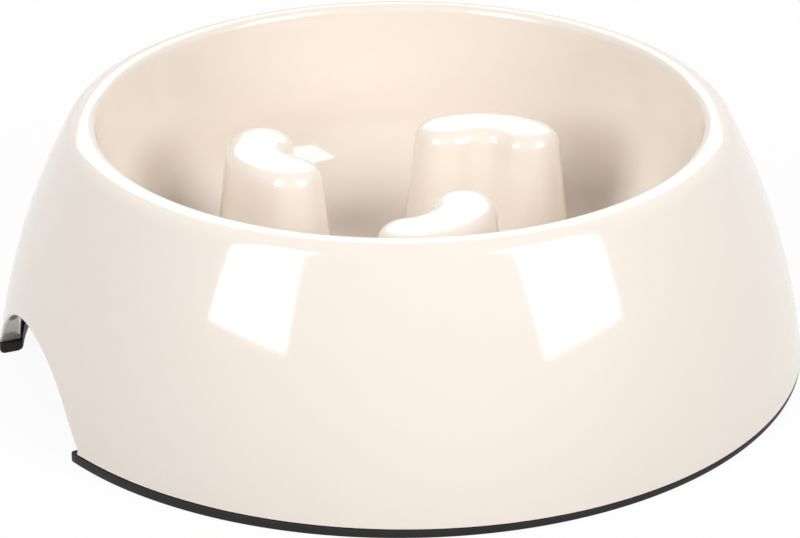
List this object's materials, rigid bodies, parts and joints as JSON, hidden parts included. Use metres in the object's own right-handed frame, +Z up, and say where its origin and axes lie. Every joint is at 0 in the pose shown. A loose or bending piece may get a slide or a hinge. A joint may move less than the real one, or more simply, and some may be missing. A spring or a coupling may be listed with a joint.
{
  "type": "slow feeder bowl",
  "caption": "Round pet bowl with bean-shaped pillars that slow eating, arched hand notches and rubber foot strips.",
  "frame": {"origin": "on the ground, under the centre of the bowl", "axes": "+Z up along the bowl's axis; the two hand notches open along +X and -X; the front is at -Y"},
  "size_m": [0.2112, 0.2201, 0.0674],
  "materials": {
    "bowl": "glossy moulded ivory",
    "foot_rubber": "matt black"
  },
  "bodies": {
    "root": {"bowl_body": "bowl", "front_foot_strip": "foot_rubber", "rear_foot_strip": "foot_rubber"}
  },
  "joints": []
}
